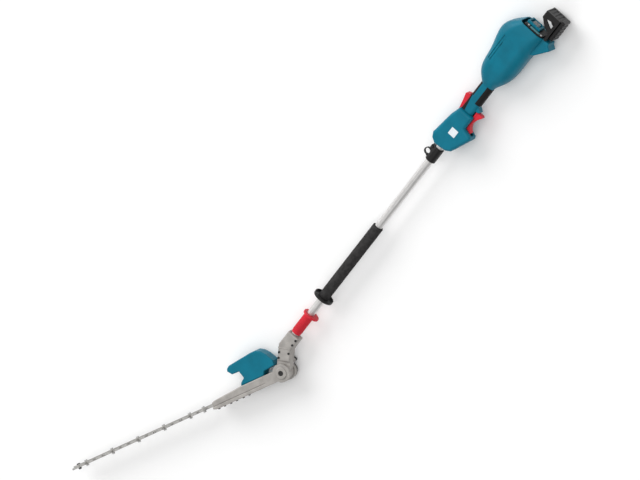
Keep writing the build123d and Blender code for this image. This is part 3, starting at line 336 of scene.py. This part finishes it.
def drawn_metal(name, colour, rough, metal, stretch, turn=0.0):
    """Metal with fine lines along one way, and some marks of use."""
    mat, tree, shader = material(name, colour, rough, metal)
    lines = noise(tree, place(tree, stretch, turn), scale=1.0, detail=4.0)
    streaks = spread(tree, lines, low=0.0, high=1.0)
    tone = tint(tree, streaks, dark=shade(colour, 0.84), light=shade(colour, 1.14))
    # The darker colour passed here is painted shade for the hollows
    wear_and_painted_shade(tree, shader, tone, rubbed=shade(colour, 1.5), painted_hollow_shade=shade(colour, 0.4), reach=0.0005)
    marks = noise(tree, place(tree), scale=130.0, detail=6.0)
    uneven = spread(tree, marks, low=rough - 0.08, high=rough + 0.14)
    tree.links.new(uneven, shader.inputs["Roughness"])
    bump(tree, shader, lines, strength=0.12, distance=0.0002)
    return mat


def foam_skin(name, colour):
    """Closed-cell foam: small pores over a soft unevenness."""
    mat, tree, shader = material(name, colour, rough=0.9, gloss=0.2)
    where = place(tree)
    patches = spread(tree, noise(tree, where, scale=90.0, detail=4.0), low=0.0, high=1.0)
    tone = tint(tree, patches, dark=shade(colour, 0.7), light=shade(colour, 1.4))
    # The darker colour passed here is painted shade for the hollows
    wear_and_painted_shade(tree, shader, tone, rubbed=shade(colour, 1.6), painted_hollow_shade=shade(colour, 0.5), reach=0.001)
    bump(tree, shader, cells(tree, where, scale=1100.0), strength=0.6, distance=0.0004)
    bump(tree, shader, noise(tree, where, scale=160.0), strength=0.35, distance=0.0008)
    return mat


materials = {
    # moulded: colour, roughness, gloss, grains per metre, relief
    "teal_plastic": moulded("teal_plastic", (0.0, 0.154, 0.232), 0.4, 0.2, 2200.0, 0.22),
    "black_plastic": moulded("black_plastic", (0.008, 0.0075, 0.0075), 0.38, 0.3, 1800.0, 0.25),
    "black_rubber": moulded("black_rubber", (0.011, 0.01, 0.0105), 0.6, 0.16, 1300.0, 0.5),
    "red_plastic": moulded("red_plastic", (0.66, 0.022, 0.04), 0.38, 0.22, 2200.0, 0.2),
    "blank_plate": moulded("blank_plate", (0.74, 0.79, 0.82), 0.4, 0.3, 2000.0, 0.1),
    "pale_teal": moulded("pale_teal", (0.125, 0.31, 0.335), 0.4, 0.3, 2000.0, 0.12),
    # cast: colour, roughness
    "cast_aluminium": cast_metal("cast_aluminium", (0.4, 0.38, 0.358), 0.48),
    # drawn: colour, roughness, share of metal, lines per metre along each axis, turn of the lines
    "pole_aluminium": drawn_metal("pole_aluminium", (0.67, 0.66, 0.65), 0.36, 0.75, POLE_LINES),
    "blade_steel": drawn_metal("blade_steel", (0.45, 0.44, 0.42), 0.36, 0.8, BLADE_LINES, BLADE_TURN),
    "dark_steel": drawn_metal("dark_steel", (0.036, 0.035, 0.035), 0.42, 0.5, TURNED_LINES),
    "bright_steel": drawn_metal("bright_steel", (0.6, 0.6, 0.59), 0.33, 0.85, TURNED_LINES),
    "laminated_iron": drawn_metal("laminated_iron", (0.2, 0.195, 0.19), 0.5, 0.6, SHEET_LINES),
    "bronze": drawn_metal("bronze", (0.6, 0.39, 0.17), 0.36, 0.85, TURNED_LINES),
    # foam: colour
    "foam": foam_skin("foam", (0.032, 0.031, 0.031)),
}
finish_of = {entry["node"]: entry["material_slot"] for entry in frame["record"]["subparts"]}
finish_of["neck_screws"] = "dark_steel"  # the photo shows no bright screws on the neck


# The CAD nodes: their finish, and the rounded edges of small parts

def dress(piece, mat):
    """Give a piece one material."""
    piece.data.materials.clear()
    piece.data.materials.append(mat)


def soften(node, width):
    """Round a node's sharp edges with modifiers."""
    weld = node.modifiers.new("weld", "WELD")
    weld.merge_threshold = WELD_REACH
    flat = node.modifiers.new("flat", "DECIMATE")
    flat.decimate_type = "DISSOLVE"
    flat.angle_limit = FLAT_ANGLE
    edge = node.modifiers.new("edge", "BEVEL")
    edge.width = width
    edge.segments = 2
    edge.limit_method = "ANGLE"
    edge.angle_limit = SOFT_ANGLE
    edge.use_clamp_overlap = False
    edge.loop_slide = False
    edge.miter_outer = "MITER_ARC"
    node.modifiers.new("shading", "WEIGHTED_NORMAL")


for name, node in nodes.items():
    dress(node, materials[finish_of[name]])
for name, width in SOFT_EDGES.items():
    soften(nodes[name], width)


# New pieces

def piece_from(name, build, body, mat):
    """A new piece drawn with a bmesh function, riding on a body."""
    mesh = bpy.data.meshes.new(name)
    bm = bmesh.new()
    build(bm)
    bmesh.ops.recalc_face_normals(bm, faces=bm.faces)
    bm.to_mesh(mesh)
    bm.free()
    piece = bpy.data.objects.new(name, mesh)
    bpy.context.scene.collection.objects.link(piece)
    dress(piece, materials[mat])
    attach(piece, body)
    return piece


def foam_section():
    """The foam grip's section as (x, radius) points: straight, with a rounded rear end."""
    points = [(FOAM_FRONT, POLE_R)]
    steps, round_steps = 120, 8
    run = FOAM_REAR - FOAM_END_ROUND - FOAM_FRONT
    points += [(FOAM_FRONT + run * step / steps, FOAM_R) for step in range(steps)]
    for step in range(round_steps + 1):
        angle = math.pi / 2 * step / round_steps
        inset = FOAM_END_ROUND * (1.0 - math.cos(angle))
        points.append((FOAM_REAR - FOAM_END_ROUND * (1.0 - math.sin(angle)), FOAM_R - inset))
    points.append((FOAM_REAR, POLE_R))
    return points


def foam_shape(bm, steps=96):
    """The section turned round the pole, with a slightly uneven skin."""
    section = foam_section()
    rings = []
    for step in range(steps):
        angle = 2 * math.pi * step / steps
        across = Vector((0.0, math.cos(angle), math.sin(angle)))
        ring = []
        for x, radius in section:
            spot = Vector((x, POLE_Y, 0.0)) + across * radius
            if radius > POLE_R:
                spot += across * FOAM_UNEVEN * (fractal.noise(spot * FOAM_LUMPS) - 1.0)
            ring.append(bm.verts.new(spot))
        rings.append(ring)
    for a, b in zip(rings, rings[1:] + rings[:1]):
        for i in range(len(section)):
            j = (i + 1) % len(section)
            bm.faces.new((a[i], a[j], b[j], b[i]))


def rounded_slab(bm, size, middle, corner, rim):
    """A thin slab with round corners and a soft rim on its outer face."""
    thin = min(range(3), key=lambda axis: size[axis])
    bmesh.ops.create_cube(bm, size=1.0)
    bmesh.ops.scale(bm, vec=size, verts=bm.verts)

    def spans(edge):
        return abs(edge.verts[0].co[thin] - edge.verts[1].co[thin]) > size[thin] / 2

    corners = [edge for edge in bm.edges if spans(edge)]
    bmesh.ops.bevel(bm, geom=corners, offset=corner, segments=6, profile=0.5, affect="EDGES")
    outer = [edge for edge in bm.edges if min(vert.co[thin] for vert in edge.verts) > 0.0]
    bmesh.ops.bevel(bm, geom=outer, offset=rim, segments=2, profile=0.5, affect="EDGES")
    bmesh.ops.translate(bm, vec=middle, verts=bm.verts)


def surround_point(x, along, lift):
    """A point on the grip's upper left corner, measured along its curve up from the flat side."""
    if along < 0.0:
        return x, GRIP_CORNER_Y + along, GRIP_CORNER_Z + GRIP_CORNER + lift
    angle = along / GRIP_CORNER
    reach = GRIP_CORNER + lift
    return x, GRIP_CORNER_Y + reach * math.sin(angle), GRIP_CORNER_Z + reach * math.cos(angle)


def surround_shape(bm, sign):
    """A thin band that narrows to the rear, wrapped over the grip's corner."""
    columns, rows = 24, 10
    layers = []
    for lift in (0.0, SURROUND_THICK):
        grid = []
        for i in range(columns + 1):
            part = i / columns
            run = SURROUND_FRONT + (SURROUND_REAR - SURROUND_FRONT) * part
            low = SURROUND_LOW_FRONT + (SURROUND_LOW_REAR - SURROUND_LOW_FRONT) * part
            column = []
            for j in range(rows + 1):
                x, y, z = surround_point(run, low + (SURROUND_TOP - low) * j / rows, lift)
                column.append(bm.verts.new((x, y, sign * z)))
            grid.append(column)
        layers.append(grid)
    inner, outer = layers
    for i in range(columns):
        for j in range(rows):
            for grid in layers:
                bm.faces.new((grid[i][j], grid[i + 1][j], grid[i + 1][j + 1], grid[i][j + 1]))
        for j in (0, rows):
            bm.faces.new((inner[i][j], inner[i + 1][j], outer[i + 1][j], outer[i][j]))
    for i in (0, columns):
        for j in range(rows):
            bm.faces.new((inner[i][j], inner[i][j + 1], outer[i][j + 1], outer[i][j]))


def skirt_shape(bm):
    """A block under the grip that moves with the trigger, with softened edges."""
    low = [bm.verts.new((x, y, -SKIRT_HALF)) for x, y in SKIRT_OUTLINE]
    high = [bm.verts.new((x, y, SKIRT_HALF)) for x, y in SKIRT_OUTLINE]
    bm.faces.new(low)
    bm.faces.new(high)
    count = len(SKIRT_OUTLINE)
    for i in range(count):
        j = (i + 1) % count
        bm.faces.new((low[i], low[j], high[j], high[i]))
    bmesh.ops.bevel(bm, geom=list(bm.edges), offset=SKIRT_EDGE, segments=2, profile=0.5, affect="EDGES")


def bead_shape(bm):
    """A round bead along a rounded rectangle, in the plane across the neck."""
    round_steps, steps = 8, 10
    path = []
    for corner in range(4):
        diagonal = math.pi / 2 * (corner + 0.5)
        middle = Vector((
            0.0,
            math.copysign(NECK_HALF_ACROSS - NECK_CORNER, math.cos(diagonal)),
            math.copysign(NECK_HALF_WIDE - NECK_CORNER, math.sin(diagonal)),
        ))
        for step in range(round_steps + 1):
            angle = math.pi / 2 * (corner + step / round_steps)
            out = Vector((0.0, math.cos(angle), math.sin(angle)))
            path.append((middle + out * NECK_CORNER, out))
    rings = []
    for spot, out in path:
        ring = []
        for step in range(steps):
            angle = 2 * math.pi * step / steps
            along = Vector((BEAD_R * math.cos(angle), 0.0, 0.0))
            ring.append(bm.verts.new(spot + along + out * BEAD_R * math.sin(angle)))
        rings.append(ring)
    for a, b in zip(rings, rings[1:] + rings[:1]):
        for i in range(steps):
            j = (i + 1) % steps
            bm.faces.new((a[i], a[j], b[j], b[i]))
    turn = Matrix.Rotation(NECK_TURN, 4, "Z")
    seam = TILT_AXIS + turn @ Vector((SEAM_RUN, 0.0, 0.0))
    bmesh.ops.transform(bm, matrix=Matrix.Translation(seam) @ turn, verts=bm.verts)


foam = piece_from("foam_sleeve", foam_shape, "tool", "foam")
foam.data.shade_smooth()
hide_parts("foam_grip")

piece_from(
    "handle_plate",
    lambda bm: rounded_slab(bm, PLATE_SIZE, PLATE_MIDDLE, SLAB_CORNER, PLATE_RIM),
    "tool", "blank_plate",
)
for side, sign in (("left", 1.0), ("right", -1.0)):
    middle = (STRIP_MIDDLE[0], STRIP_MIDDLE[1], sign * STRIP_MIDDLE[2])
    piece_from(
        f"terminal_strip_{side}",
        lambda bm: rounded_slab(bm, STRIP_SIZE, middle, SLAB_CORNER, STRIP_RIM),
        "tool", "pale_teal",
    )
    # The surround continues the black rubber strip and also paints the shade at the lever's lower end
    piece_from(
        f"lever_surround_{side}",
        lambda bm: surround_shape(bm, sign),
        "tool", "black_rubber",
    )
piece_from("trigger_skirt", skirt_shape, "trigger", "red_plastic")
piece_from("neck_bead", bead_shape, "tool", "cast_aluminium").data.shade_smooth()


# Floor, light and camera

def floor_finish():
    """A pale floor that is seen as near white, and that lights the object as a plainer grey."""
    mat, tree, shader = material("floor", FLOOR_GREY, rough=0.8, gloss=0.1)
    rays = tree.nodes.new("ShaderNodeLightPath")
    seen = combine(tree, "MAXIMUM", rays.outputs["Is Camera Ray"], rays.outputs["Is Glossy Ray"])
    seen = combine(tree, "MAXIMUM", seen, rays.outputs["Is Transmission Ray"])
    tone = tint(tree, seen, FLOOR_GREY, FLOOR_SEEN)
    specks = spread(tree, noise(tree, place(tree), scale=8.0), low=0.0, high=0.03)
    tree.links.new(overlay(tree, tone, FLOOR_SPECK, specks), shader.inputs["Base Color"])
    bump(tree, shader, noise(tree, place(tree), scale=700.0), strength=0.05, distance=0.0002)
    return mat


def make_floor(reach):
    """A wide sheet just under the object's lowest point."""
    height = start_bounds[0][2] - FLOOR_GAP
    mesh = bpy.data.meshes.new("floor")
    corners = [(-reach, -reach), (reach, -reach), (reach, reach), (-reach, reach)]
    mesh.from_pydata([(x, y, height) for x, y in corners], [], [(0, 1, 2, 3)])
    floor = bpy.data.objects.new("floor", mesh)
    bpy.context.scene.collection.objects.link(floor)
    mesh.materials.append(floor_finish())


def soft_sun(name, stands_at, breadth, strength):
    """Even light from one side, as soft as a wide lamp's."""
    data = bpy.data.lights.new(name, "SUN")
    data.angle = math.radians(breadth)
    data.energy = strength
    lamp = bpy.data.objects.new(name, data)
    lamp.location = stands_at
    lamp.rotation_euler = (-Vector(stands_at)).to_track_quat("-Z", "Y").to_euler()
    bpy.context.scene.collection.objects.link(lamp)


def studio_world(strength):
    """Even white light from all round."""
    world = bpy.data.worlds.new("studio")
    bpy.context.scene.world = world
    world.use_nodes = True
    background = world.node_tree.nodes["Background"]
    background.inputs["Color"].default_value = (1.0, 1.0, 1.0, 1.0)
    background.inputs["Strength"].default_value = strength


def photo_camera():
    """The camera that the photo was taken with."""
    data = bpy.data.cameras.new("camera")
    data.type = "PERSP"
    data.sensor_width = SENSOR
    data.lens = SENSOR * VIEW_DISTANCE / VIEW_WIDTH
    data.clip_end = VIEW_REACH
    back = VIEW_BACK.normalized()
    right = (VIEW_RIGHT - back * VIEW_RIGHT.dot(back)).normalized()
    turn = Matrix((right, back.cross(right), back)).transposed()
    camera = bpy.data.objects.new("camera", data)
    camera.matrix_world = Matrix.Translation(VIEW_CENTRE + back * VIEW_DISTANCE) @ turn.to_4x4()
    bpy.context.scene.collection.objects.link(camera)
    bpy.context.scene.camera = camera


make_floor(FLOOR_REACH)
for name, (stands_at, breadth, strength) in SUNS.items():
    soft_sun(name, stands_at, breadth, strength)
studio_world(WORLD_LIGHT)
photo_camera()
bpy.context.scene.view_settings.view_transform = "Standard"
